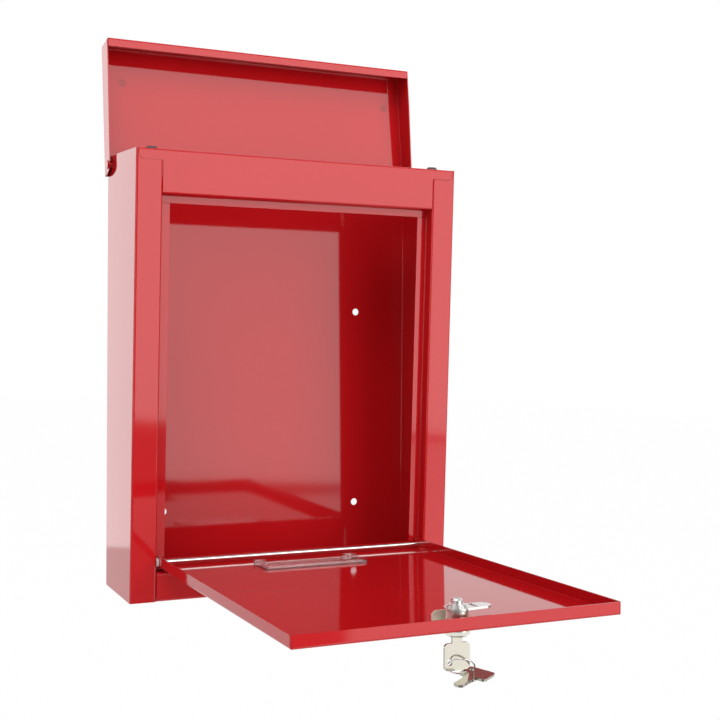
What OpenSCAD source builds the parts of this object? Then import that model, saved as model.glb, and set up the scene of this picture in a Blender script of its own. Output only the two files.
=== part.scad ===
// Wall letter box of folded sheet steel: an open flap on top and a front door on a hinge rod.
// X runs across the box, +Y into the wall and +Z up. The origin is the centre of the four
// screw holes, on the back face. The model stands as pictured: flap up and door down.

/* [Body] */
// Width over the side walls
body_w = 318; // [280:1:360]
// Height of the front, from the underside to the top edge
body_h = 405; // [360:1:460]
// Depth at the top of the front
depth_top = 112; // [104:1:125]
// Depth at the foot of the front
depth_bottom = 96; // [90:1:102]
// Rise of the top edge towards the wall, in degrees
roof_angle = 3.2; // [2:0.1:3.8]
// Thickness of the sheet
sheet_t = 1.0; // [0.8:0.1:1.2]
// Inner radius of every fold
fold_r = 1.0; // [0.8:0.1:1.3]
// Width of the two front posts
post_w = 24; // [20:1:30]
// Depth of the recess that the door closes into
recess_d = 11.8; // [11.6:0.1:13]
// Width of the door stop beside each post
stop_w = 10; // [7:0.5:14]
// Running gap of every seam between two panels
seam = 0.3; // [0.2:0.05:0.5]

/* [Wall holes] */
// Distance between the holes across the box
hole_spacing_x = 206; // [150:1:230]
// Distance between the holes up the box
hole_spacing_z = 200; // [120:1:230]
// Height of the lower holes above the underside
hole_low = 67; // [40:1:90]
// Diameter of the holes
hole_d = 7; // [5:0.5:9]

/* [Header and floor] */
// Height of the header between the posts
header_h = 39.3; // [32:0.1:48]
// Height of the header's arms over the posts
arm_h = 10; // [8:0.5:14]
// Corner radius of the arms
arm_r = 5; // [3:0.5:7]
// Depth of the header's top ledge
ledge_w = 27; // [24:1:34]
// Height of the door stop under the header
header_stop_h = 7; // [5:0.5:9]
// Height of the rail under the door
rail_h = 26.4; // [24:0.1:34]
// Height of the door stop above the rail
rail_stop_h = 10; // [7:0.5:13]
// Height of the floor's folded edges
floor_edge_h = 12; // [8:1:20]

/* [Flap hinge] */
// Length of the hinge notch in the side walls
notch_len = 38; // [34:1:46]
// Drop of the notch below the front's top edge
notch_drop = 14; // [12:0.5:18]
// Corner radius of the notch
notch_r = 7; // [4:0.5:9]
// Inset of the hinge ear from the side's outer face
ear_inset = 1.5; // [1.4:0.1:2.5]
// Length of the hinge ear
ear_len = 33; // [24:1:33]
// Distance of the hinge pin from the back face
pin_back = 9; // [8:0.5:10]
// Distance of the hinge pin below the front's top edge
pin_drop = 2.5; // [1.5:0.5:4]
// Diameter of the hinge pin
pin_d = 5; // [4:0.5:6]
// Diameter of the pin's head
pin_head_d = 8; // [7:0.5:9.5]
// Thickness of the pin's head
pin_head_t = 0.9; // [0.6:0.1:1.5]
// Radial clearance of a pin or rod in its hole
hinge_play = 0.08; // [0.05:0.01:0.1]

/* [Flap] */
// Gap between the flap's edges and the side walls
flap_gap = 1.0; // [0.6:0.1:1.6]
// Height of the flap's top face over the hinge pin
flap_rise = 14.6; // [14.2:0.1:16]
// Reach of the flap in front of the header
flap_overhang = 19; // [14:0.5:24]
// Reach of the flap behind its pin
flap_tail = 8.5; // [8:0.1:8.8]
// Depth of the flap's front lip
lip_h = 26.5; // [23:0.5:32]
// Depth of the side edge at the lip
edge_front_h = 25.5; // [22:0.5:26]
// Depth of the side edge at the pin
edge_back_h = 21.5; // [20.5:0.5:23]
// Width of the lip's inward fold
return_w = 8.6; // [5:0.1:11]
// Depth of the hem along the flap's back
hem_h = 4.2; // [4:0.1:4.4]
// Dip of the closed flap below the roof line, in degrees
flap_dip = 1.3; // [0.5:0.1:1.6]
// Angle from closed to fully open
flap_open = 102.4; // [96:0.1:102.8]

/* [Pads] */
// Diameter of the rubber pads
pad_d = 10; // [7:0.5:12]
// Distance of a pad's centre from the side's outer face
pad_side = 17.5; // [14:0.5:30]
// Distance of a pad's centre behind the header's face
pad_back = 16; // [11:0.5:18]
// Clearance left over the pads when the flap is closed
pad_play = 0.2; // [0.1:0.05:0.5]

/* [Door] */
// Gap above and below the closed door
door_gap = 2.0; // [1.9:0.1:2.6]
// Gap beside the door
door_side_gap = 2.5; // [1.5:0.1:3.5]
// Depth of the door's folded edges
door_d = 10; // [8.5:0.1:10.5]
// Depth of the low edge along the hinge
door_heel_h = 4.4; // [3.6:0.1:4.6]
// Corner radius of the side edges at the hinge
door_heel_r = 5; // [4.8:0.1:5.2]
// Diameter of the hinge rod
rod_d = 4; // [3:0.5:4.5]
// Distance of the rod behind the door's outer face
rod_in = 4.8; // [4.4:0.1:5]
// Distance of the rod from the door's lower edge
rod_up = 6.8; // [6.6:0.1:6.9]
// Angle from closed to fully open
door_open = 87.1; // [80:0.1:88]
// Outer diameter of the spacers on the rod
spacer_d = 8.2; // [7:0.1:9]
// Diameter of the push-on caps at the rod's ends
cap_d = 6.4; // [5.6:0.1:7]
// Length of the push-on caps
cap_len = 3; // [2:0.5:5]

/* [Card holder] */
// Length of the clear card holder
holder_w = 98; // [70:1:120]
// Width of the clear card holder
holder_l = 34; // [24:1:40]
// Height of the card holder
holder_h = 2.6; // [2.2:0.1:4]
// Wall of the clear plastic
holder_t = 0.8; // [0.6:0.1:0.9]
// Distance of the holder from the door's hinge edge
holder_from_hinge = 30; // [20:1:60]
// Size of the two clips at its back corners
clip_w = 9; // [6:0.5:12]

/* [Lock] */
// Distance of the lock's centre from the door's free edge
lock_in = 14.5; // [13.5:0.1:18]
// Diameter of the lock's rim outside the door
bezel_d = 20.5; // [19:0.1:23]
// Height of the rim
bezel_h = 5.4; // [3:0.1:6]
// Diameter of the lock barrel
barrel_d = 17.5; // [16:0.1:18]
// Length of the barrel inside the door's face
barrel_len = 12.7; // [12.5:0.1:14]
// Diameter of the turning plug
plug_d = 12; // [11:0.1:13]
// Side of the plug's square tail
tail_w = 6.8; // [6:0.1:6.9]
// Thickness of the cam
cam_t = 1.6; // [1.2:0.1:2]
// Running gap between the cam and the door stop behind it
cam_play = 0.45; // [0.3:0.05:0.6]
// Diameter of the cam's round base
cam_base_d = 19; // [17:0.5:20]
// Reach of the cam from the lock's centre
cam_len = 27; // [24:0.5:30]
// Diameter of the cam's round tip
cam_tip_d = 14; // [9:0.5:14]
// Distance of the cam's slot from the lock's centre
cam_slot_at = 13; // [12:0.5:15]
// Width of the cam's slot
cam_slot_w = 3; // [2:0.5:4]
// Length of the cam's slot
cam_slot_len = 11; // [6:0.5:11]
// Turn of the lock from open to locked, in degrees
lock_turn = 90; // [45:5:90]
// Thickness of the fixing clip
clip_t = 1.0; // [0.8:0.1:1.2]
// Width of the fixing clip
clip_plate_w = 29; // [24:1:32]
// Height of the clip's upturned tab
clip_tab_h = 10; // [6:0.5:10]

/* [Keys] */
// Thickness of the keys
key_t = 1.8; // [1.4:0.1:2.2]
// Width of a key's bow
bow_w = 20.5; // [17:0.5:23]
// Height of a key's bow
bow_h = 19.5; // [18:0.5:24]
// Corner radius of a key's bow
bow_r = 3; // [2:0.5:5]
// Width of a key's blade
blade_w = 7; // [6:0.1:8]
// Length of a key's blade inside the lock
blade_len = 17; // [14:0.5:17.5]
// Length of the bare shank between the rim and the bow
shank_len = 5.8; // [3:0.1:6]
// Diameter of the hole in the bow
bow_hole_d = 4.6; // [4:0.1:5.5]
// Diameter of the key ring, over the middle of its wire
ring_d = 20; // [17:0.5:23]
// Diameter of the ring's wire
wire_d = 1.2; // [0.8:0.1:1.4]

/* [Hidden] */
$fn = 64;
// Sheet and seam values
outer_r = fold_r + sheet_t;
lean = atan((depth_top - depth_bottom) / body_h);
front_len = body_h / cos(lean);
half_w = body_w / 2;
opening_half = half_w - post_w;
spill = 20;
lap_step = 0.05;
header_low = front_len - header_h;
arm_low = front_len - arm_h;
stop_low = rail_h + rail_stop_h;
stop_high = header_low - header_stop_h;
hole_mid = hole_low + hole_spacing_z / 2;
// Flap hinge and flap
pin_y = -pin_back;
pin_z = body_h - pin_drop;
notch_z = body_h - notch_drop;
roof_over_pin = (pin_drop + (depth_top - pin_back) * tan(roof_angle)) * cos(roof_angle);
ear_out = half_w - ear_inset;
flap_half = half_w + flap_gap + sheet_t;
flap_reach = depth_top - pin_back + flap_overhang;
tail_r = edge_back_h - flap_rise;
pad_reach = depth_top - pin_back - pad_back;
pad_h = flap_rise - sheet_t - roof_over_pin - pad_reach * tan(flap_dip) - pad_play;
pad_lip = 1;
pad_lip_d = pad_d + 2;
pad_stem_d = pad_d / 2;
// Door and hinge rod
door_half = opening_half - door_side_gap;
door_low = rail_h + door_gap;
door_len = header_low - door_gap - door_low;
rod_z = door_low + rod_up;
free_y = rod_up - door_len;
spacer_play = 0.2;
cap_end = 1;
// Lock, in the door's own frame
lock_y = free_y + lock_in;
cam_z = recess_d + sheet_t + cam_play;
washer_t = 1.0;
star_t = 1.0;
star_d = 14.5;
washer_d = 12.5;
screw_d = 4;
screw_head_d = 8.6;
screw_head_h = 4;
screw_low = barrel_len;
keyway_t = key_t + 0.3;
keyway_w = blade_w + 0.4;
wafer_n = 5;
wafer_t = 0.9;
wafer_pitch = 2.1;
wafer_first = 2.2;
bow_hole_x = -6;
bow_hole_up = 6;
ring_lean = 23;
ring_roll = -40;
spare_turn = [91.2, 6.5, -55.1];
turn_play = 0.05;
plug_in = 0.4;

// Moves a shape drawn from the underside of the box to the origin at the screw holes
module placed() {
    translate([0, 0, -hole_mid]) children();
}

// The leaning front: X across, Y into the box and Z up the front's face
module on_front() {
    translate([0, -depth_bottom, 0]) rotate([lean, 0, 0]) children();
}

// The open door: origin on the rod, -Y to the free edge and Z from its outer to its inner side
module on_door() {
    on_front() translate([0, rod_in, rod_z]) rotate([door_open - 90, 0, 0]) children();
}

// The open flap: origin on the pin, -Y to the lip and Z towards its outer side
module on_flap() {
    translate([0, pin_y, pin_z]) rotate([roof_angle + flap_dip - flap_open, 0, 0]) children();
}

// The lock: origin on its axis in the door's outer face, Z into the door
module on_lock() {
    on_door() translate([0, lock_y, -rod_in]) children();
}

// A shape in Y and Z drawn out across X, centred
module across(width) {
    rotate([90, 0, 90]) linear_extrude(width, center = true) children();
}

// A shape in X and Z drawn out along Y, from zero back to -len
module along(len) {
    rotate([90, 0, 0]) linear_extrude(len) children();
}

// Sector of a bent sheet about the origin, from start over turn degrees
module fold_arc(start, turn) {
    far = 2 * outer_r;
    intersection() {
        difference() {
            circle(outer_r);
            circle(fold_r);
        }
        polygon([[0, 0], far * [cos(start), sin(start)],
                 far * [cos(start + turn / 2), sin(start + turn / 2)] / cos(turn / 2),
                 far * [cos(start + turn), sin(start + turn)]]);
    }
}

// Folded strip: each step is a straight length and the turn after it, left or right.
// It sets out along +X with the sheet on the left of its line.
module folded(steps, i = 0) {
    run = steps[i][0];
    turn = steps[i][1];
    square([run, sheet_t]);
    if (i < len(steps) - 1) {
        left = turn > 0;
        size = abs(turn);
        translate([run, left ? sheet_t + fold_r : -fold_r]) {
            fold_arc(left ? -90 : 90 - size, size);
            rotate(turn) translate([0, left ? -outer_r : fold_r]) folded(steps, i + 1);
        }
    }
}

// Plate whose lower edges are rounded over: X centred, Y from zero up
module rounded_low(width, height, r) {
    translate([-width / 2, r]) square([width, height - r]);
    translate([-width / 2 + r, 0]) square([width - 2 * r, height]);
    for (side = [-1, 1]) {
        translate([side * (width / 2 - r), r]) circle(r);
    }
}

// Rectangle with round corners, centred
module rounded_rect(width, height, r) {
    square([width - 2 * r, height], center = true);
    square([width, height - 2 * r], center = true);
    for (x = [-1, 1], y = [-1, 1]) {
        translate([x * (width / 2 - r), y * (height / 2 - r)]) circle(r);
    }
}

// Block with all its lower edges and its upright corners rounded
module pan_block(width, length, height, r) {
    intersection() {
        along(length) rounded_low(width, height, r);
        across(width) translate([-length / 2, 0]) rounded_low(length, height, r);
        translate([0, -length / 2, 0]) linear_extrude(height) rounded_rect(width, length, r);
    }
}

// Folded pan of sheet, open at the top, with its outer face at zero
module pan(width, length, height) {
    difference() {
        pan_block(width, length, height, outer_r);
        translate([0, -sheet_t, sheet_t])
            pan_block(width - 2 * sheet_t, length - 2 * sheet_t, height, fold_r);
    }
}

// Section across a post: side wall, front face, recess wall and, where wanted, the door stop
module post_section(face = true, stop = true) {
    translate([0, outer_r]) square([sheet_t, depth_top]);
    translate([outer_r, outer_r]) fold_arc(180, 90);
    if (face) {
        translate([outer_r, 0]) square([post_w - 2 * outer_r, sheet_t]);
        translate([post_w - outer_r, outer_r]) fold_arc(270, 90);
        translate([post_w - sheet_t, outer_r]) square([sheet_t, recess_d - fold_r - outer_r]);
    }
    if (stop) {
        translate([post_w + fold_r, recess_d - fold_r]) fold_arc(90, 90);
        translate([post_w + fold_r, recess_d]) square([stop_w - fold_r, sheet_t]);
    }
}

// Side wall and post, standing on the front and running past both its ends,
// with a small corner that fills the space outside the header arm's round end
module side_and_post() {
    corner_top = arm_low + arm_r - 1;
    translate([0, 0, -spill]) linear_extrude(stop_low + seam + spill) post_section(stop = false);
    translate([0, 0, stop_low + seam])
        linear_extrude(stop_high - stop_low - 2 * seam) post_section();
    translate([0, 0, stop_high - seam])
        linear_extrude(arm_low - stop_high + seam) post_section(stop = false);
    translate([0, 0, corner_top])
        linear_extrude(front_len - corner_top + spill) post_section(face = false, stop = false);
    translate([0, 0, arm_low]) difference() {
        linear_extrude(corner_top - arm_low) {
            post_section(face = false, stop = false);
            translate([outer_r, 0]) square([arm_r, sheet_t]);
        }
        translate([outer_r + seam + arm_r, 0, seam + arm_r]) rotate([90, 0, 0])
            cylinder(r = arm_r + seam, h = 4 * sheet_t, center = true);
    }
}

// Outline of a side wall in Y and Z, with its hinge notch
module side_outline() {
    front = -depth_top - outer_r;
    back = -1.5 * outer_r;
    difference() {
        polygon([[back, 0], [front, 0], [front, body_h - outer_r * tan(roof_angle)],
                 [back, body_h + (depth_top + back) * tan(roof_angle)]]);
        translate([-notch_len, notch_z]) {
            translate([notch_r, 0]) square([notch_len, 3 * notch_drop]);
            translate([0, notch_r]) square([notch_len, 3 * notch_drop]);
            translate([notch_r, notch_r]) circle(notch_r);
        }
    }
}

// Back wall with its two upright folds, seen from above
module back_section(half, leg) {
    translate([-half + outer_r, -sheet_t]) square([2 * (half - outer_r), sheet_t]);
    for (side = [0, 1]) mirror([side, 0]) {
        translate([half - outer_r, -outer_r]) fold_arc(0, 90);
        if (leg > outer_r) translate([half - sheet_t, -leg]) square([sheet_t, leg - outer_r]);
    }
}

// Outline of a hinge ear and the back wall beside it, in Y and Z
module ear_outline() {
    ear_low = notch_z + seam;
    back_top = body_h + depth_top * tan(roof_angle);
    ear_front = -ear_len;
    ear_top = body_h + (depth_top - ear_len) * tan(roof_angle);
    difference() {
        polygon([[0, ear_low], [ear_front, ear_low], [ear_front, ear_top], [0, back_top]]);
        translate([ear_front, ear_low]) difference() {
            translate([-1, -1]) square(notch_r + 1);
            translate([notch_r, notch_r]) circle(notch_r);
        }
    }
}

// Sides, back and posts: one folded sheet
module body_wrap() color("#b51c26") {
    wall_holes = [for (x = [-1, 1], z = [-1, 1])
                  [x * hole_spacing_x / 2, hole_mid + z * hole_spacing_z / 2]];
    difference() {
        union() {
            linear_extrude(notch_z) back_section(half_w - lap_step, 2 * outer_r);
            intersection() {
                translate([0, 0, notch_z - 1]) linear_extrude(3 * notch_drop)
                    back_section(ear_out, ear_len);
                across(body_w) union() {
                    ear_outline();
                    translate([-sheet_t, notch_z - 1]) square([sheet_t, 2]);
                }
            }
            for (side = [0, 1]) mirror([side, 0, 0]) intersection() {
                on_front() translate([-half_w, 0, 0]) side_and_post();
                across(2 * body_w) side_outline();
            }
        }
        for (hole = wall_holes) {
            translate([hole[0], 1, hole[1]]) rotate([90, 0, 0])
                cylinder(d = hole_d, h = 3 * sheet_t);
        }
        translate([0, pin_y, pin_z]) rotate([0, 90, 0])
            cylinder(d = pin_d, h = body_w, center = true);
        on_front() translate([0, rod_in, rod_z]) rotate([0, 90, 0])
            cylinder(d = rod_d, h = body_w - 4 * sheet_t, center = true);
    }
}

// Floor with its folded edges, and the rail and door stop in front of it
module floor_panel() color("#a81a23") {
    half = half_w - sheet_t - seam / 3;
    rail_half = opening_half - seam;
    back = -outer_r - seam / 3;
    corner = 90 - lean;
    setback = outer_r * tan(corner / 2);
    floor_run = 30;
    plate_front = -depth_bottom + recess_d + 2 * sheet_t;
    translate([0, back, 0]) along(plate_front * -1 + back) {
        translate([-half, floor_edge_h]) rotate(-90)
            folded([[floor_edge_h - outer_r, 90], [2 * (half - outer_r), 90],
                    [floor_edge_h - outer_r, 0]]);
    }
    across(2 * rail_half) translate([-depth_bottom + setback + floor_run, sheet_t]) rotate(180)
        folded([[floor_run, -corner], [rail_h - setback - outer_r, -90],
                [recess_d - fold_r - outer_r, 90], [rail_stop_h - fold_r, 0]]);
    for (side = [0, 1]) mirror([side, 0, 0]) {
        translate([opening_half + sheet_t + seam, -depth_bottom + 2 * sheet_t, 0])
            cube([post_w - 2 * sheet_t - seam - (half_w - sheet_t - half), 2 * recess_d, sheet_t]);
    }
}

// Outline of the header seen from the front: arms over the posts, narrower below
module header_outline() {
    arm_half = half_w - outer_r - seam;
    top = 2 * arm_h;
    translate([-opening_half + seam, stop_high - 1])
        square([2 * (opening_half - seam), front_len - stop_high + top]);
    translate([0, arm_low + seam]) {
        translate([-arm_half + arm_r, 0]) square([2 * (arm_half - arm_r), top]);
        translate([-arm_half, arm_r]) square([2 * arm_half, top]);
        for (side = [-1, 1]) {
            translate([side * (arm_half - arm_r), arm_r]) circle(arm_r);
        }
    }
}

// Header over the door: stop, face, arms and the ledge that carries the pads
module header_panel() color("#c9303a") {
    corner = 90 - roof_angle + lean;
    setback = outer_r * tan(corner / 2);
    on_front() difference() {
        intersection() {
            across(body_w) translate([recess_d + sheet_t, stop_high]) rotate(90)
                folded([[header_stop_h - fold_r, 90], [recess_d - fold_r - outer_r, -90],
                        [header_h - outer_r - setback, -corner], [ledge_w - setback, 0]]);
            translate([0, 2 * ledge_w, 0]) along(3 * ledge_w) header_outline();
        }
        for (side = [-1, 1]) {
            translate([side * (half_w - pad_side), pad_back, front_len])
                cylinder(d = pad_stem_d, h = 4 * pad_h, center = true);
        }
    }
}

// Rubber pad on the header's ledge: flange and dome above, stem and barb through the ledge
module pad(side) color("#3a3a3c") {
    dome_h = 1.2;
    stem_h = sheet_t + 0.1;
    barb_h = 2;
    ledge_up = pad_back * tan(roof_angle - lean);
    on_front() translate([side * (half_w - pad_side), pad_back, front_len + ledge_up])
        rotate([roof_angle - lean, 0, 0]) {
            cylinder(d = pad_lip_d, h = pad_lip);
            cylinder(d = pad_d, h = pad_h - dome_h);
            translate([0, 0, pad_h - dome_h]) cylinder(d1 = pad_d, d2 = pad_d - 2, h = dome_h, $fn = 48);
            translate([0, 0, -stem_h]) cylinder(d = pad_stem_d - 0.2, h = stem_h);
            translate([0, 0, -stem_h - barb_h])
                cylinder(d1 = pad_stem_d - 1, d2 = pad_stem_d + 1.5, h = barb_h, $fn = 48);
        }
}

// Side view of the flap: tail round the pin, sloping side edge and deep lip
module flap_outline() {
    tail_arc = [for (turn = [-10 : -10 : -90]) tail_r * [cos(turn), sin(turn)]];
    polygon(concat([[flap_tail, flap_rise], [flap_tail, flap_rise - hem_h]], tail_arc,
                   [[-flap_reach + return_w, flap_rise - edge_front_h],
                    [-flap_reach, flap_rise - lip_h], [-flap_reach, flap_rise]]));
}

// Flap: one folded pan with a deep lip and its inward return, turned open
module flap() color("#c4343c") {
    length = flap_reach + flap_tail;
    lip_low = flap_rise - lip_h;
    inner_half = flap_half - sheet_t;
    on_flap() difference() {
        union() {
            intersection() {
                translate([0, flap_tail, flap_rise]) mirror([0, 0, 1])
                    pan(2 * flap_half, length, lip_h - outer_r);
                across(2 * flap_half) flap_outline();
            }
            translate([0, -flap_reach, lip_low]) across(2 * inner_half) {
                translate([outer_r, outer_r]) fold_arc(180, 90);
                translate([outer_r, 0]) square([return_w - outer_r, sheet_t]);
            }
        }
        translate([0, flap_tail - 2 * sheet_t, flap_rise - hem_h - lip_h])
            translate([-inner_half, 0, 0]) cube([2 * inner_half, 3 * sheet_t, lip_h]);
        rotate([0, 90, 0])
            cylinder(r = pin_d / 2 + hinge_play, h = 3 * flap_half, center = true);
    }
}

// Rivet pin of the flap: head outside the flap's edge, shank, and tail head inside the ear
module flap_pin(side) color("#a9555c") {
    head_play = 0.15;
    head_x = flap_half + head_play;
    tail_x = ear_out - sheet_t;
    mirror([side < 0 ? 1 : 0, 0, 0]) translate([0, pin_y, pin_z]) rotate([0, 90, 0]) {
        translate([0, 0, head_x]) cylinder(d = pin_head_d, h = pin_head_t);
        translate([0, 0, tail_x]) cylinder(d = pin_d, h = head_x - tail_x);
        translate([0, 0, tail_x - pin_head_t]) cylinder(d = pin_head_d - 1, h = pin_head_t);
    }
}

// Side view of the door: square at the free edge, side edges rounded off at the hinge
module door_outline() {
    top = door_d - rod_in;
    difference() {
        translate([free_y, -rod_in]) square([door_len, door_d]);
        translate([rod_up - door_heel_r, top - door_heel_r]) difference() {
            square(door_heel_r + 1);
            circle(door_heel_r);
        }
    }
}

// Door: a folded pan, low along the hinge, with the rod holes and the hole for the lock
module door() color("#c41f2a") {
    on_door() difference() {
        intersection() {
            translate([0, rod_up, -rod_in]) pan(2 * door_half, door_len, door_d);
            across(2 * door_half) door_outline();
        }
        translate([-door_half + sheet_t, rod_up - 2 * sheet_t, door_heel_h - rod_in])
            cube([2 * (door_half - sheet_t), 3 * sheet_t, door_d]);
        rotate([0, 90, 0])
            cylinder(r = rod_d / 2 + hinge_play, h = 3 * door_half, center = true);
        translate([0, lock_y, -rod_in - 1])
            cylinder(r = barrel_d / 2 + turn_play, h = 3 * sheet_t);
    }
}

// Plain steel rod that the door turns on
module door_rod() color("#cfd2d4") {
    rod_half = opening_half + sheet_t + cap_len - cap_end;
    on_front() translate([0, rod_in, rod_z]) rotate([0, 90, 0])
        cylinder(d = rod_d, h = 2 * rod_half, center = true);
}

// Spacer on the rod between a post and the door's edge
module rod_spacer(side) color("#c9c2bd") {
    length = door_side_gap - 2 * spacer_play;
    mirror([side < 0 ? 1 : 0, 0, 0]) on_front()
        translate([door_half + spacer_play, rod_in, rod_z]) rotate([0, 90, 0]) difference() {
            cylinder(d = spacer_d, h = length);
            translate([0, 0, -1]) cylinder(d = rod_d, h = length + 2);
        }
}

// Push-on cap that holds the rod's end inside the hollow post
module rod_cap(side) color("#8f9499") {
    mirror([side < 0 ? 1 : 0, 0, 0]) on_front()
        translate([opening_half + sheet_t, rod_in, rod_z]) rotate([0, 90, 0]) difference() {
            cylinder(d = cap_d, h = cap_len);
            translate([0, 0, -cap_end]) cylinder(d = rod_d, h = cap_len);
        }
}

// Clear card holder on the door's inner side: back plate, front rim, end rims and two clips
module card_holder() color("#d9cfd2", 0.6) {
    slot = holder_h - 2 * holder_t;
    rim = 3;
    clip_h = 1.2;
    on_door() translate([0, rod_up - holder_from_hinge - holder_l / 2, sheet_t - rod_in]) {
        linear_extrude(holder_t) square([holder_w, holder_l], center = true);
        translate([0, -holder_l / 2 + holder_t / 2, holder_h / 2])
            cube([holder_w, holder_t, holder_h], center = true);
        for (side = [-1, 1]) translate([side * (holder_w / 2 - holder_t / 2), 0, holder_h / 2])
            cube([holder_t, holder_l, holder_h], center = true);
        translate([0, 0, holder_t + slot]) linear_extrude(holder_t) difference() {
            square([holder_w, holder_l], center = true);
            translate([0, rim]) square([holder_w - 2 * rim, holder_l], center = true);
        }
        for (side = [-1, 1])
            translate([side * (holder_w / 2 - clip_w / 2), holder_l / 2 - clip_w / 2, 0])
                linear_extrude(holder_h + clip_h) difference() {
                    square([clip_w, clip_w], center = true);
                    translate([0, -holder_t]) square([clip_w - 2 * holder_t, clip_w], center = true);
                }
    }
}

// Lock barrel: domed rim outside the door, round body with two slots for the clip
module lock_barrel() color("#b9bcbe") {
    rim_land = 1.4;
    bore = plug_d / 2 + turn_play;
    on_lock() difference() {
        union() {
            rotate_extrude($fn = 96) polygon([[0, 0], [bezel_d / 2, 0],
                [bezel_d / 2, -rim_land], [bezel_d / 2 - 1, -bezel_h + 1.2],
                [bezel_d / 2 - 2.4, -bezel_h], [0, -bezel_h]]);
            cylinder(d = barrel_d, h = barrel_len);
        }
        translate([0, 0, -bezel_h - 1]) cylinder(r = bore, h = bezel_h + barrel_len - 0.6);
        cylinder(d = plug_d - 2, h = barrel_len + 1);
        for (side = [-1, 1]) {
            translate([side * (barrel_d / 2), 0, sheet_t + clip_t / 2])
                cube([3.4, barrel_d, clip_t + 0.1], center = true);
        }
    }
}

// Horseshoe clip that holds the barrel, with its upturned tab behind it
module lock_clip() color("#d8d2c4") {
    neck = barrel_d - 3.4 + 0.2;
    reach = 9;
    back = 11.5;
    chamfer = 2.5;
    on_lock() translate([0, 0, sheet_t]) {
        linear_extrude(clip_t) difference() {
            translate([-clip_plate_w / 2, -reach]) square([clip_plate_w, reach + back]);
            translate([-neck / 2, -reach - 1]) square([neck, reach + 1]);
            intersection() {
                circle(d = barrel_d + 0.2);
                square([neck, 2 * barrel_d], center = true);
            }
            translate([-neck / 2 - 2, -reach - 1]) square([neck + 4, 2]);
        }
        translate([0, back, 0]) along(clip_t) polygon([
            [-clip_plate_w / 2, 0], [clip_plate_w / 2, 0],
            [clip_plate_w / 2, clip_tab_h - chamfer],
            [clip_plate_w / 2 - chamfer, clip_tab_h],
            [-clip_plate_w / 2 + chamfer, clip_tab_h],
            [-clip_plate_w / 2, clip_tab_h - chamfer]]);
    }
}

// Turning plug with its keyway, wafer slots, square tail and screw hole
module lock_plug() color("#a6a9ab") {
    wide_len = bezel_h + barrel_len - 1.7;
    plug_len = bezel_h + barrel_len;
    tail_end = cam_z + cam_t - 0.1;
    on_lock() difference() {
        union() {
            translate([0, 0, -bezel_h + plug_in]) cylinder(d = plug_d, h = wide_len - plug_in);
            translate([0, 0, -bezel_h + wide_len])
                cylinder(d = plug_d - 2.2, h = plug_len - wide_len);
            translate([-tail_w / 2, -tail_w / 2, barrel_len - 0.01])
                cube([tail_w, tail_w, tail_end - barrel_len + 0.01]);
        }
        translate([-keyway_w / 2, -keyway_t / 2, -bezel_h])
            cube([keyway_w, keyway_t, blade_len + plug_in + 0.3]);
        for (i = [0 : wafer_n - 1]) {
            translate([0, 0, -bezel_h + wafer_first + i * wafer_pitch + wafer_t / 2 + 0.1])
                cube([plug_d - 1.6, 4.2, wafer_t + 0.2], center = true);
        }
        translate([0, 0, screw_low - 0.1]) cylinder(d = screw_d, h = 6);
    }
}

// The wafers: thin plates across the plug, each with a window for the key
module lock_wafers() color("#c9a24a") {
    on_lock() for (i = [0 : wafer_n - 1]) {
        shift = 0.15 * (i % 2);
        translate([shift, 0, -bezel_h + wafer_first + i * wafer_pitch]) linear_extrude(wafer_t)
            difference() {
                square([plug_d - 2.2, 3.8], center = true);
                square([keyway_w + 0.4, keyway_t], center = true);
            }
    }
}

// Outline of the cam: round base, tapering arm, round tip, square hole and cross slot
module cam_outline() {
    base_r = cam_base_d / 2;
    tip_r = cam_tip_d / 2;
    tip_at = cam_len - tip_r;
    difference() {
        union() {
            circle(base_r);
            translate([tip_at, 0]) circle(tip_r);
            polygon([[0, base_r - 0.6], [0, 0.6 - base_r], [tip_at, 0.3 - tip_r], [tip_at, tip_r - 0.3]]);
        }
        square(tail_w + 2 * turn_play, center = true);
        translate([cam_slot_at, 0]) square([cam_slot_w, cam_slot_len], center = true);
    }
}

// Cam on the plug's tail, pointing across the door while the lock is open
module lock_cam() color("#c2c4c2") {
    on_lock() translate([0, 0, cam_z]) linear_extrude(cam_t) cam_outline();
}

// Toothed washer on the cam
module cam_star_washer() color("#bfc1c0") {
    teeth = 12;
    on_lock() translate([0, 0, cam_z + cam_t]) linear_extrude(star_t) difference() {
        circle(d = star_d);
        circle(d = screw_d + 0.4);
        for (i = [0 : teeth - 1]) rotate(i * 360 / teeth) translate([star_d / 2, 0])
            square([1.6, 1.1], center = true);
    }
}

// Plain washer under the screw head
module cam_washer() color("#c9cbca") {
    on_lock() translate([0, 0, cam_z + cam_t + star_t]) difference() {
        cylinder(d = washer_d, h = washer_t);
        translate([0, 0, -1]) cylinder(d = screw_d + 0.4, h = washer_t + 2);
    }
}

// Screw that holds the cam, with a cross recess in its head
module cam_screw() color("#d6d7d6") {
    head_z = cam_z + cam_t + star_t + washer_t;
    on_lock() difference() {
        union() {
            translate([0, 0, screw_low]) cylinder(d = screw_d, h = head_z - screw_low);
            translate([0, 0, head_z]) cylinder(d = screw_head_d, h = screw_head_h - 1.2);
            translate([0, 0, head_z + screw_head_h - 1.2])
                cylinder(d1 = screw_head_d, d2 = screw_head_d - 2.4, h = 1.2, $fn = 48);
        }
        for (turn = [0, 90]) {
            translate([0, 0, head_z + screw_head_h]) rotate(turn) cube([4.4, 1, 2.4], center = true);
        }
    }
}

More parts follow.
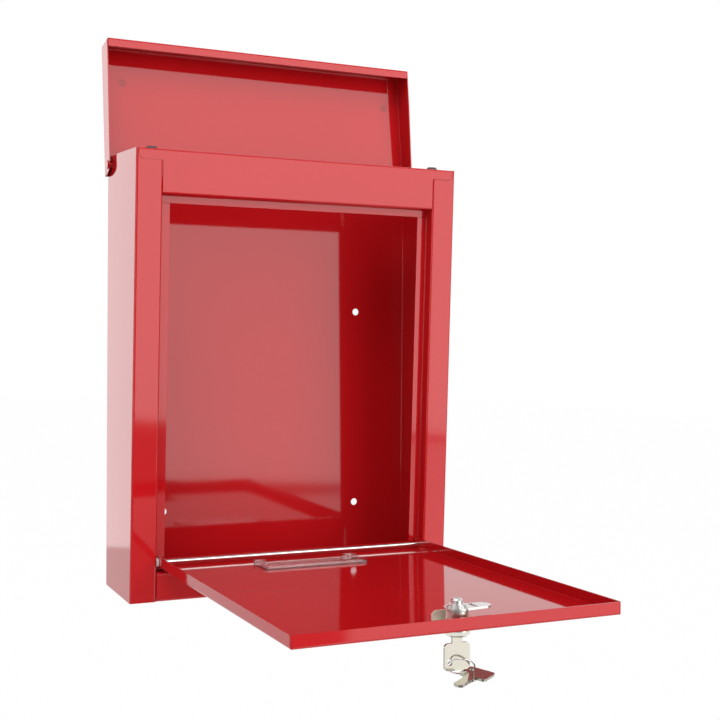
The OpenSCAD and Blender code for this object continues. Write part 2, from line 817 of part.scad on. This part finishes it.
// Flat outline of a key in X and Z: bow below, shank, and a blade with its cuts above
module key_outline() {
    bow_top = -shank_len;
    cut_depth = [0.7, 1.3, 0.4, 1.1, 0.8];
    difference() {
        union() {
            translate([0, bow_top - bow_h / 2]) rounded_rect(bow_w, bow_h, bow_r);
            translate([-blade_w / 2 - 0.6, bow_top - 1]) square([blade_w + 1.2, shank_len + 1]);
            translate([-blade_w / 2, -0.01]) square([blade_w, blade_len - 1.99]);
            polygon([[-blade_w / 2, blade_len - 2], [blade_w / 2, blade_len - 2],
                     [blade_w / 2 - 2.2, blade_len], [-blade_w / 2 + 2.2, blade_len]]);
        }
        for (i = [0 : wafer_n - 1], side = [-1, 1]) {
            translate([side * (blade_w / 2), wafer_first + i * wafer_pitch + wafer_t / 2])
                rotate(45) square(cut_depth[i], center = true);
        }
        translate([bow_hole_x, bow_top - bow_h + bow_hole_up]) circle(d = bow_hole_d);
    }
}

// A whole key about its shank's top, its flat faces along Y
module key_solid() {
    translate([0, key_t / 2, 0]) along(key_t) key_outline();
}

// Key in the lock: its blade in the plug and its bow below the rim
module key_in_lock() color("#c9c7bb") {
    on_lock() translate([0, 0, -bezel_h + plug_in]) key_solid();
}

// Frame of the ring: origin in its middle, -X to the bow's hole and Z square to the ring
module on_ring() {
    on_lock() translate([bow_hole_x, 0, -bezel_h + plug_in - shank_len - bow_h + bow_hole_up])
        rotate([0, ring_lean, 0]) rotate([ring_roll, 0, 0])
            translate([ring_d / 2, 0, 0]) children();
}

// Round wire ring through both bows
module key_ring() color("#b9b9b4") {
    on_ring() rotate_extrude($fn = 96) translate([ring_d / 2, 0]) circle(d = wire_d, $fn = 24);
}

// Second key, hanging on the ring
module key_spare() color("#6b5a52") {
    hole_z = -shank_len - bow_h + bow_hole_up;
    on_ring() translate([ring_d / 2, 0, 0])
        rotate([-ring_roll, 0, 0]) rotate([0, -ring_lean, 0]) rotate(spare_turn)
            translate([-bow_hole_x, 0, -hole_z]) key_solid();
}

placed() body_wrap();
placed() floor_panel();
placed() header_panel();
placed() pad(-1);  // pad_left
placed() pad(1);  // pad_right
placed() flap();
placed() flap_pin(-1);  // flap_pin_left
placed() flap_pin(1);  // flap_pin_right
placed() door();
placed() door_rod();
placed() rod_spacer(-1);  // rod_spacer_left
placed() rod_spacer(1);  // rod_spacer_right
placed() rod_cap(-1);  // rod_cap_left
placed() rod_cap(1);  // rod_cap_right
placed() card_holder();
placed() lock_barrel();
placed() lock_clip();
placed() lock_plug();
placed() lock_wafers();
placed() lock_cam();
placed() cam_star_washer();
placed() cam_washer();
placed() cam_screw();
placed() key_in_lock();
placed() key_ring();
placed() key_spare();
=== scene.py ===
"""Looks of the red wall letter box: finishes, soft studio light and the photograph's camera."""

import math

import bpy
from mathutils import Matrix, Vector

# Camera: place in metres from the screw holes' centre, angles in degrees
CAMERA_AT = (-0.4162, -1.1459, 0.0709)
CAMERA_YAW = 24.626
CAMERA_PITCH = 0.974
CAMERA_ROLL = 0.488
FOCAL_PX = 1193.8
FRAME_PX = 720
SENSOR_MM = 36.0

# Floor and light
FLOOR_Z = -0.60
FLOOR_SIZE = 14.0
FLOOR_FRONT = -1.1
FLOOR_TONE = (0.9, 0.9, 0.9)
FLOOR_ROUGHNESS = 0.9
FLOOR_SEEN_WHITE = 0.99
WORLD_LEVEL = 0.46
ROOM_LEVEL = 0.30
ROOM_ENDS_AT = -0.35
WHITE_STARTS_AT = 0.15
WHITE = (1.0, 1.0, 1.0)

# Softboxes: name, place, the point each faces, side and power, in metres and watts
SOFTBOXES = (
    ("front_lamp", (1.2, -2.4, 0.8), (0.0, 0.0, 0.8), 2.4, 49.0),
    ("top_lamp", (-0.9, -1.5, 2.2), (0.0, -0.2, 0.0), 1.6, 36.0),
    ("left_lamp", (-1.3, 2.2, 0.3), (-0.1, 0.0, 0.0), 1.8, 8.0),
    ("fill_lamp", (-2.6, -1.3, 0.1), (0.0, -0.1, 0.0), 1.0, 9.0),
    ("low_lamp", (1.3, -2.2, -1.0), (1.3, 0.0, -1.0), 1.2, 7.2),
)

# Colours, linear
RED = (0.465, 0.007, 0.010)
RED_PIN = (0.50, 0.010, 0.012)
STEEL = (0.76, 0.75, 0.73)
NICKEL = (0.80, 0.78, 0.71)
KEY = (0.43, 0.41, 0.355)
CLIP = (0.86, 0.83, 0.74)
BRASS = (0.72, 0.52, 0.22)
RUBBER = (0.075, 0.045, 0.045)
SPACER = (0.62, 0.56, 0.54)
CLEAR = (0.97, 0.94, 0.95)

# Powder coat: waves a metre of its tone, gloss and orange peel, and its clear top
TONE_WAVES = 9.0
GLOSS_WAVES = 60.0
PEEL_WAVES = 420.0
COAT_SHARE = 0.95
COAT_ROUGHNESS = 0.06
COAT_IOR = 1.5

# Marks of the pads inside the flap: balls centred 10 mm off its inner face, in metres,
# the radii where a mark ends and where it is full, and how dark it is
MARKS_AT = ((-0.1415, 0.0065, 0.3212), (0.1415, 0.0065, 0.3212))
MARK_END = 0.01095
MARK_FULL = 0.0107
MARK_TONE = 0.72


def new_material(name):
    """A node material with its shader, ready for the shader's own values."""
    material = bpy.data.materials.new(name)
    material.use_nodes = True
    return material, material.node_tree.nodes["Principled BSDF"]


def link(material, source, target):
    material.node_tree.links.new(source, target)


def add(material, kind, **values):
    """Adds a node and sets its attributes."""
    node = material.node_tree.nodes.new(kind)
    for name, value in values.items():
        setattr(node, name, value)
    return node


def noise(material, scale, detail=2.0):
    """Noise over the object's own space, scale in waves a metre."""
    place = add(material, "ShaderNodeTexCoord")
    texture = add(material, "ShaderNodeTexNoise")
    texture.inputs["Scale"].default_value = scale
    texture.inputs["Detail"].default_value = detail
    link(material, place.outputs["Object"], texture.inputs["Vector"])
    return texture.outputs["Fac"]


def spread(material, value, low, high):
    """Maps a 0 to 1 value to the range from low to high."""
    node = add(material, "ShaderNodeMapRange")
    node.inputs["To Min"].default_value = low
    node.inputs["To Max"].default_value = high
    link(material, value, node.inputs["Value"])
    return node.outputs["Result"]


def shade(material, value, dark, light):
    """Colour that runs from dark to light with a 0 to 1 value."""
    node = add(material, "ShaderNodeMix", data_type="RGBA")
    node.inputs["A"].default_value = (*dark, 1.0)
    node.inputs["B"].default_value = (*light, 1.0)
    link(material, value, node.inputs["Factor"])
    return node.outputs["Result"]


def scaled(colour, factor):
    return tuple(min(1.0, part * factor) for part in colour)


def bump(material, shader, height, strength, distance, edge=0.0):
    """Surface relief, with edges rounded by a bevel of the given radius in metres."""
    node = add(material, "ShaderNodeBump")
    node.inputs["Strength"].default_value = strength
    node.inputs["Distance"].default_value = distance
    link(material, height, node.inputs["Height"])
    if edge:
        bevel = add(material, "ShaderNodeBevel", samples=4)
        bevel.inputs["Radius"].default_value = edge
        link(material, bevel.outputs["Normal"], node.inputs["Normal"])
    link(material, node.outputs["Normal"], shader.inputs["Normal"])


def pad_marks(material):
    """1 on the two round marks that the pads press into the coat inside the flap."""
    place = add(material, "ShaderNodeTexCoord")
    marked = None
    for centre in MARKS_AT:
        reach = add(material, "ShaderNodeVectorMath", operation="DISTANCE")
        reach.inputs[1].default_value = centre
        link(material, place.outputs["Object"], reach.inputs[0])
        round_mark = add(material, "ShaderNodeMapRange")
        round_mark.inputs["From Min"].default_value = MARK_END
        round_mark.inputs["From Max"].default_value = MARK_FULL
        link(material, reach.outputs["Value"], round_mark.inputs["Value"])
        if marked is None:
            marked = round_mark.outputs["Result"]
        else:
            both = add(material, "ShaderNodeMath", operation="ADD")
            link(material, marked, both.inputs[0])
            link(material, round_mark.outputs["Result"], both.inputs[1])
            marked = both.outputs[0]
    return marked


def powder_coat(name, colour, marked=False):
    """Glossy powder coat: faint orange peel under a clear, smooth top."""
    material, shader = new_material(name)
    tone = noise(material, TONE_WAVES)
    base = shade(material, tone, scaled(colour, 0.96), scaled(colour, 1.04))
    if marked:
        rubbed = add(material, "ShaderNodeMix", data_type="RGBA")
        rubbed.inputs["B"].default_value = (*scaled(colour, MARK_TONE), 1.0)
        link(material, pad_marks(material), rubbed.inputs["Factor"])
        link(material, base, rubbed.inputs["A"])
        base = rubbed.outputs["Result"]
    link(material, base, shader.inputs["Base Color"])
    gloss = noise(material, GLOSS_WAVES)
    link(material, spread(material, gloss, 0.26, 0.34), shader.inputs["Roughness"])
    shader.inputs["Specular IOR Level"].default_value = 0.0
    shader.inputs["Coat Weight"].default_value = COAT_SHARE
    shader.inputs["Coat Roughness"].default_value = COAT_ROUGHNESS
    shader.inputs["Coat IOR"].default_value = COAT_IOR
    bump(material, shader, noise(material, PEEL_WAVES, 1.0), 0.04, 0.0002, edge=0.0005)
    return material


def metal(name, colour, low, high, grain, edge=0.00015):
    """Plated metal with a fine uneven gloss."""
    material, shader = new_material(name)
    shader.inputs["Metallic"].default_value = 1.0
    tone = noise(material, grain)
    base = shade(material, tone, scaled(colour, 0.90), scaled(colour, 1.05))
    link(material, base, shader.inputs["Base Color"])
    gloss = noise(material, grain * 3)
    link(material, spread(material, gloss, low, high), shader.inputs["Roughness"])
    bump(material, shader, noise(material, grain * 2), 0.04, 0.00002, edge=edge)
    return material


def rod_steel():
    """Drawn bright steel: fine lines along X."""
    material, shader = new_material("rod_steel")
    shader.inputs["Metallic"].default_value = 1.0
    place = add(material, "ShaderNodeTexCoord")
    stretch = add(material, "ShaderNodeMapping")
    stretch.inputs["Scale"].default_value = (4.0, 900.0, 900.0)
    texture = add(material, "ShaderNodeTexNoise")
    texture.inputs["Scale"].default_value = 1.0
    link(material, place.outputs["Object"], stretch.inputs["Vector"])
    link(material, stretch.outputs["Vector"], texture.inputs["Vector"])
    drawn = texture.outputs["Fac"]
    base = shade(material, drawn, scaled(STEEL, 0.86), scaled(STEEL, 1.08))
    link(material, base, shader.inputs["Base Color"])
    link(material, spread(material, drawn, 0.14, 0.26), shader.inputs["Roughness"])
    bump(material, shader, drawn, 0.12, 0.00004)
    return material


def rubber():
    """Moulded rubber, matt with a fine pitted skin."""
    material, shader = new_material("pad_rubber")
    tone = noise(material, 300.0)
    base = shade(material, tone, scaled(RUBBER, 0.8), scaled(RUBBER, 1.4))
    link(material, base, shader.inputs["Base Color"])
    link(material, spread(material, tone, 0.42, 0.60), shader.inputs["Roughness"])
    bump(material, shader, noise(material, 1500.0), 0.25, 0.0001, edge=0.0004)
    return material


def pale_plastic():
    """Moulded nylon of the rod's spacers."""
    material, shader = new_material("spacer_plastic")
    tone = noise(material, 200.0)
    base = shade(material, tone, scaled(SPACER, 0.94), scaled(SPACER, 1.05))
    link(material, base, shader.inputs["Base Color"])
    link(material, spread(material, tone, 0.30, 0.42), shader.inputs["Roughness"])
    bump(material, shader, tone, 0.05, 0.0001, edge=0.0003)
    return material


def clear_plastic():
    """Clear moulded plastic of the card holder."""
    material, shader = new_material("holder_plastic")
    tone = noise(material, 40.0)
    link(material, shade(material, tone, scaled(CLEAR, 0.97), CLEAR), shader.inputs["Base Color"])
    link(material, spread(material, tone, 0.03, 0.08), shader.inputs["Roughness"])
    shader.inputs["Transmission Weight"].default_value = 0.94
    shader.inputs["IOR"].default_value = 1.49
    bump(material, shader, noise(material, 90.0), 0.04, 0.0001, edge=0.0002)
    return material


def dress(frame):
    """Gives every solid its finish."""
    red = powder_coat("red_powder_coat", RED)
    nickel = metal("satin_nickel", NICKEL, 0.20, 0.30, 60.0)
    zinc = metal("zinc_plate", STEEL, 0.24, 0.36, 60.0)
    key = metal("key_nickel", KEY, 0.13, 0.19, 60.0)
    clip = metal("clip_plate", CLIP, 0.42, 0.55, 80.0)
    finishes = {
        "body_wrap": red, "floor_panel": red, "header_panel": red, "door": red,
        "flap": powder_coat("flap_powder_coat", RED, marked=True),
        "flap_pin_left": powder_coat("pin_coat", RED_PIN),
        "door_rod": rod_steel(),
        "card_holder": clear_plastic(),
        "lock_barrel": nickel, "lock_plug": nickel, "key_in_lock": key, "key_spare": key,
        "lock_clip": clip,
        "lock_wafers": metal("wafer_brass", BRASS, 0.25, 0.40, 300.0),
    }
    finishes["flap_pin_right"] = finishes["flap_pin_left"]
    rubber_skin = rubber()
    nylon = pale_plastic()
    for side in ("left", "right"):
        finishes["pad_" + side] = rubber_skin
        finishes["rod_spacer_" + side] = nylon
    for name, solid in frame["nodes"].items():
        solid.data.materials.clear()
        solid.data.materials.append(finishes.get(name, zinc))


def seen_directly(tree, *rays):
    """1 where one of these kinds of ray meets the surface, otherwise 0."""
    path = tree.nodes.new("ShaderNodeLightPath")
    seen = path.outputs[rays[0]]
    for ray in rays[1:]:
        either = tree.nodes.new("ShaderNodeMath")
        either.operation = "MAXIMUM"
        tree.links.new(seen, either.inputs[0])
        tree.links.new(path.outputs[ray], either.inputs[1])
        seen = either.outputs[0]
    return seen


def mixed(tree, share, first, second):
    """The first shader, or the second where share is 1."""
    mix = tree.nodes.new("ShaderNodeMixShader")
    tree.links.new(share, mix.inputs["Fac"])
    tree.links.new(first, mix.inputs[1])
    tree.links.new(second, mix.inputs[2])
    return mix.outputs[0]


def white_light(tree, kind):
    """Plain white of strength 1."""
    white = tree.nodes.new(kind)
    white.inputs["Color"].default_value = (*WHITE, 1.0)
    white.inputs["Strength"].default_value = 1.0
    return white


def build_world():
    """White to the camera; in reflections, white behind the box and a dim room in front."""
    world = bpy.data.worlds.new("studio")
    bpy.context.scene.world = world
    world.use_nodes = True
    tree = world.node_tree
    ambient = tree.nodes["Background"]
    ambient.inputs["Color"].default_value = (*WHITE, 1.0)
    ambient.inputs["Strength"].default_value = WORLD_LEVEL
    room = white_light(tree, "ShaderNodeBackground")
    direction = tree.nodes.new("ShaderNodeTexCoord")
    axes = tree.nodes.new("ShaderNodeSeparateXYZ")
    level = tree.nodes.new("ShaderNodeMapRange")
    level.interpolation_type = "SMOOTHSTEP"
    level.inputs["From Min"].default_value = ROOM_ENDS_AT
    level.inputs["From Max"].default_value = WHITE_STARTS_AT
    level.inputs["To Min"].default_value = ROOM_LEVEL
    level.inputs["To Max"].default_value = 1.0
    tree.links.new(direction.outputs["Generated"], axes.inputs["Vector"])
    tree.links.new(axes.outputs["Y"], level.inputs["Value"])
    tree.links.new(level.outputs["Result"], room.inputs["Strength"])
    reflected = seen_directly(tree, "Is Glossy Ray")
    clear = seen_directly(tree, "Is Camera Ray", "Is Transmission Ray")
    lit = mixed(tree, reflected, ambient.outputs[0], room.outputs[0])
    shown = mixed(tree, clear, lit, white_light(tree, "ShaderNodeBackground").outputs[0])
    tree.links.new(shown, tree.nodes["World Output"].inputs["Surface"])


def build_floor():
    """Plain white floor below the box, which keeps a soft shadow."""
    half = FLOOR_SIZE / 2
    rear = FLOOR_FRONT + FLOOR_SIZE
    mesh = bpy.data.meshes.new("floor")
    corners = [(-half, FLOOR_FRONT, FLOOR_Z), (half, FLOOR_FRONT, FLOOR_Z),
               (half, rear, FLOOR_Z), (-half, rear, FLOOR_Z)]
    mesh.from_pydata(corners, [], [(0, 1, 2, 3)])
    floor = bpy.data.objects.new("floor", mesh)
    bpy.context.collection.objects.link(floor)
    material, shader = new_material("floor_white")
    shader.inputs["Base Color"].default_value = (*FLOOR_TONE, 1.0)
    shader.inputs["Roughness"].default_value = FLOOR_ROUGHNESS
    tree = material.node_tree
    seen = seen_directly(tree, "Is Camera Ray", "Is Glossy Ray", "Is Transmission Ray")
    share = add(material, "ShaderNodeMath", operation="MULTIPLY")
    share.inputs[1].default_value = FLOOR_SEEN_WHITE
    link(material, seen, share.inputs[0])
    white = white_light(tree, "ShaderNodeEmission")
    surface = mixed(tree, share.outputs[0], shader.outputs[0], white.outputs[0])
    link(material, surface, tree.nodes["Material Output"].inputs["Surface"])
    mesh.materials.append(material)


def softbox(name, place, target, size, power):
    """Square lamp that faces a point."""
    lamp = bpy.data.lights.new(name, "AREA")
    lamp.shape = "SQUARE"
    lamp.size = size
    lamp.energy = power
    thing = bpy.data.objects.new(name, lamp)
    thing.location = place
    thing.rotation_euler = (Vector(target) - Vector(place)).to_track_quat("-Z", "Y").to_euler()
    bpy.context.collection.objects.link(thing)
    return thing


def build_lamps():
    """Wide lamps in front, above, behind on the left, at the left and low on the right."""
    for name, place, target, size, power in SOFTBOXES:
        softbox(name, place, target, size, power)


def build_camera():
    """Camera of the photograph."""
    yaw, pitch, roll = (math.radians(angle) for angle in (CAMERA_YAW, CAMERA_PITCH, CAMERA_ROLL))
    flat = math.cos(pitch)
    ahead = Vector((math.sin(yaw) * flat, math.cos(yaw) * flat, -math.sin(pitch)))
    level = Vector((math.cos(yaw), -math.sin(yaw), 0.0))
    above = level.cross(ahead)
    right = math.cos(roll) * level + math.sin(roll) * above
    up = math.cos(roll) * above - math.sin(roll) * level
    lens = bpy.data.cameras.new("camera")
    lens.sensor_width = SENSOR_MM
    lens.lens = FOCAL_PX * SENSOR_MM / FRAME_PX
    camera = bpy.data.objects.new("camera", lens)
    turn = Matrix((right, up, -ahead)).transposed()
    camera.matrix_world = Matrix.Translation(CAMERA_AT) @ turn.to_4x4()
    bpy.context.collection.objects.link(camera)
    bpy.context.scene.camera = camera


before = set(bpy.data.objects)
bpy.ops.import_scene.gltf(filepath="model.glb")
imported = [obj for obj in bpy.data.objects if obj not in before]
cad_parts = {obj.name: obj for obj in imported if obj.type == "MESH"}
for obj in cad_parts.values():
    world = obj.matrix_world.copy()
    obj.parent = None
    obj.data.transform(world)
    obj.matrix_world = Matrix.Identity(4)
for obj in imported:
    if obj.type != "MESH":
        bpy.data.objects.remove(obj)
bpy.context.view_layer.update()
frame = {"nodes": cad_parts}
dress(frame)
build_world()
build_floor()
build_lamps()
build_camera()
bpy.context.scene.view_settings.view_transform = "Standard"
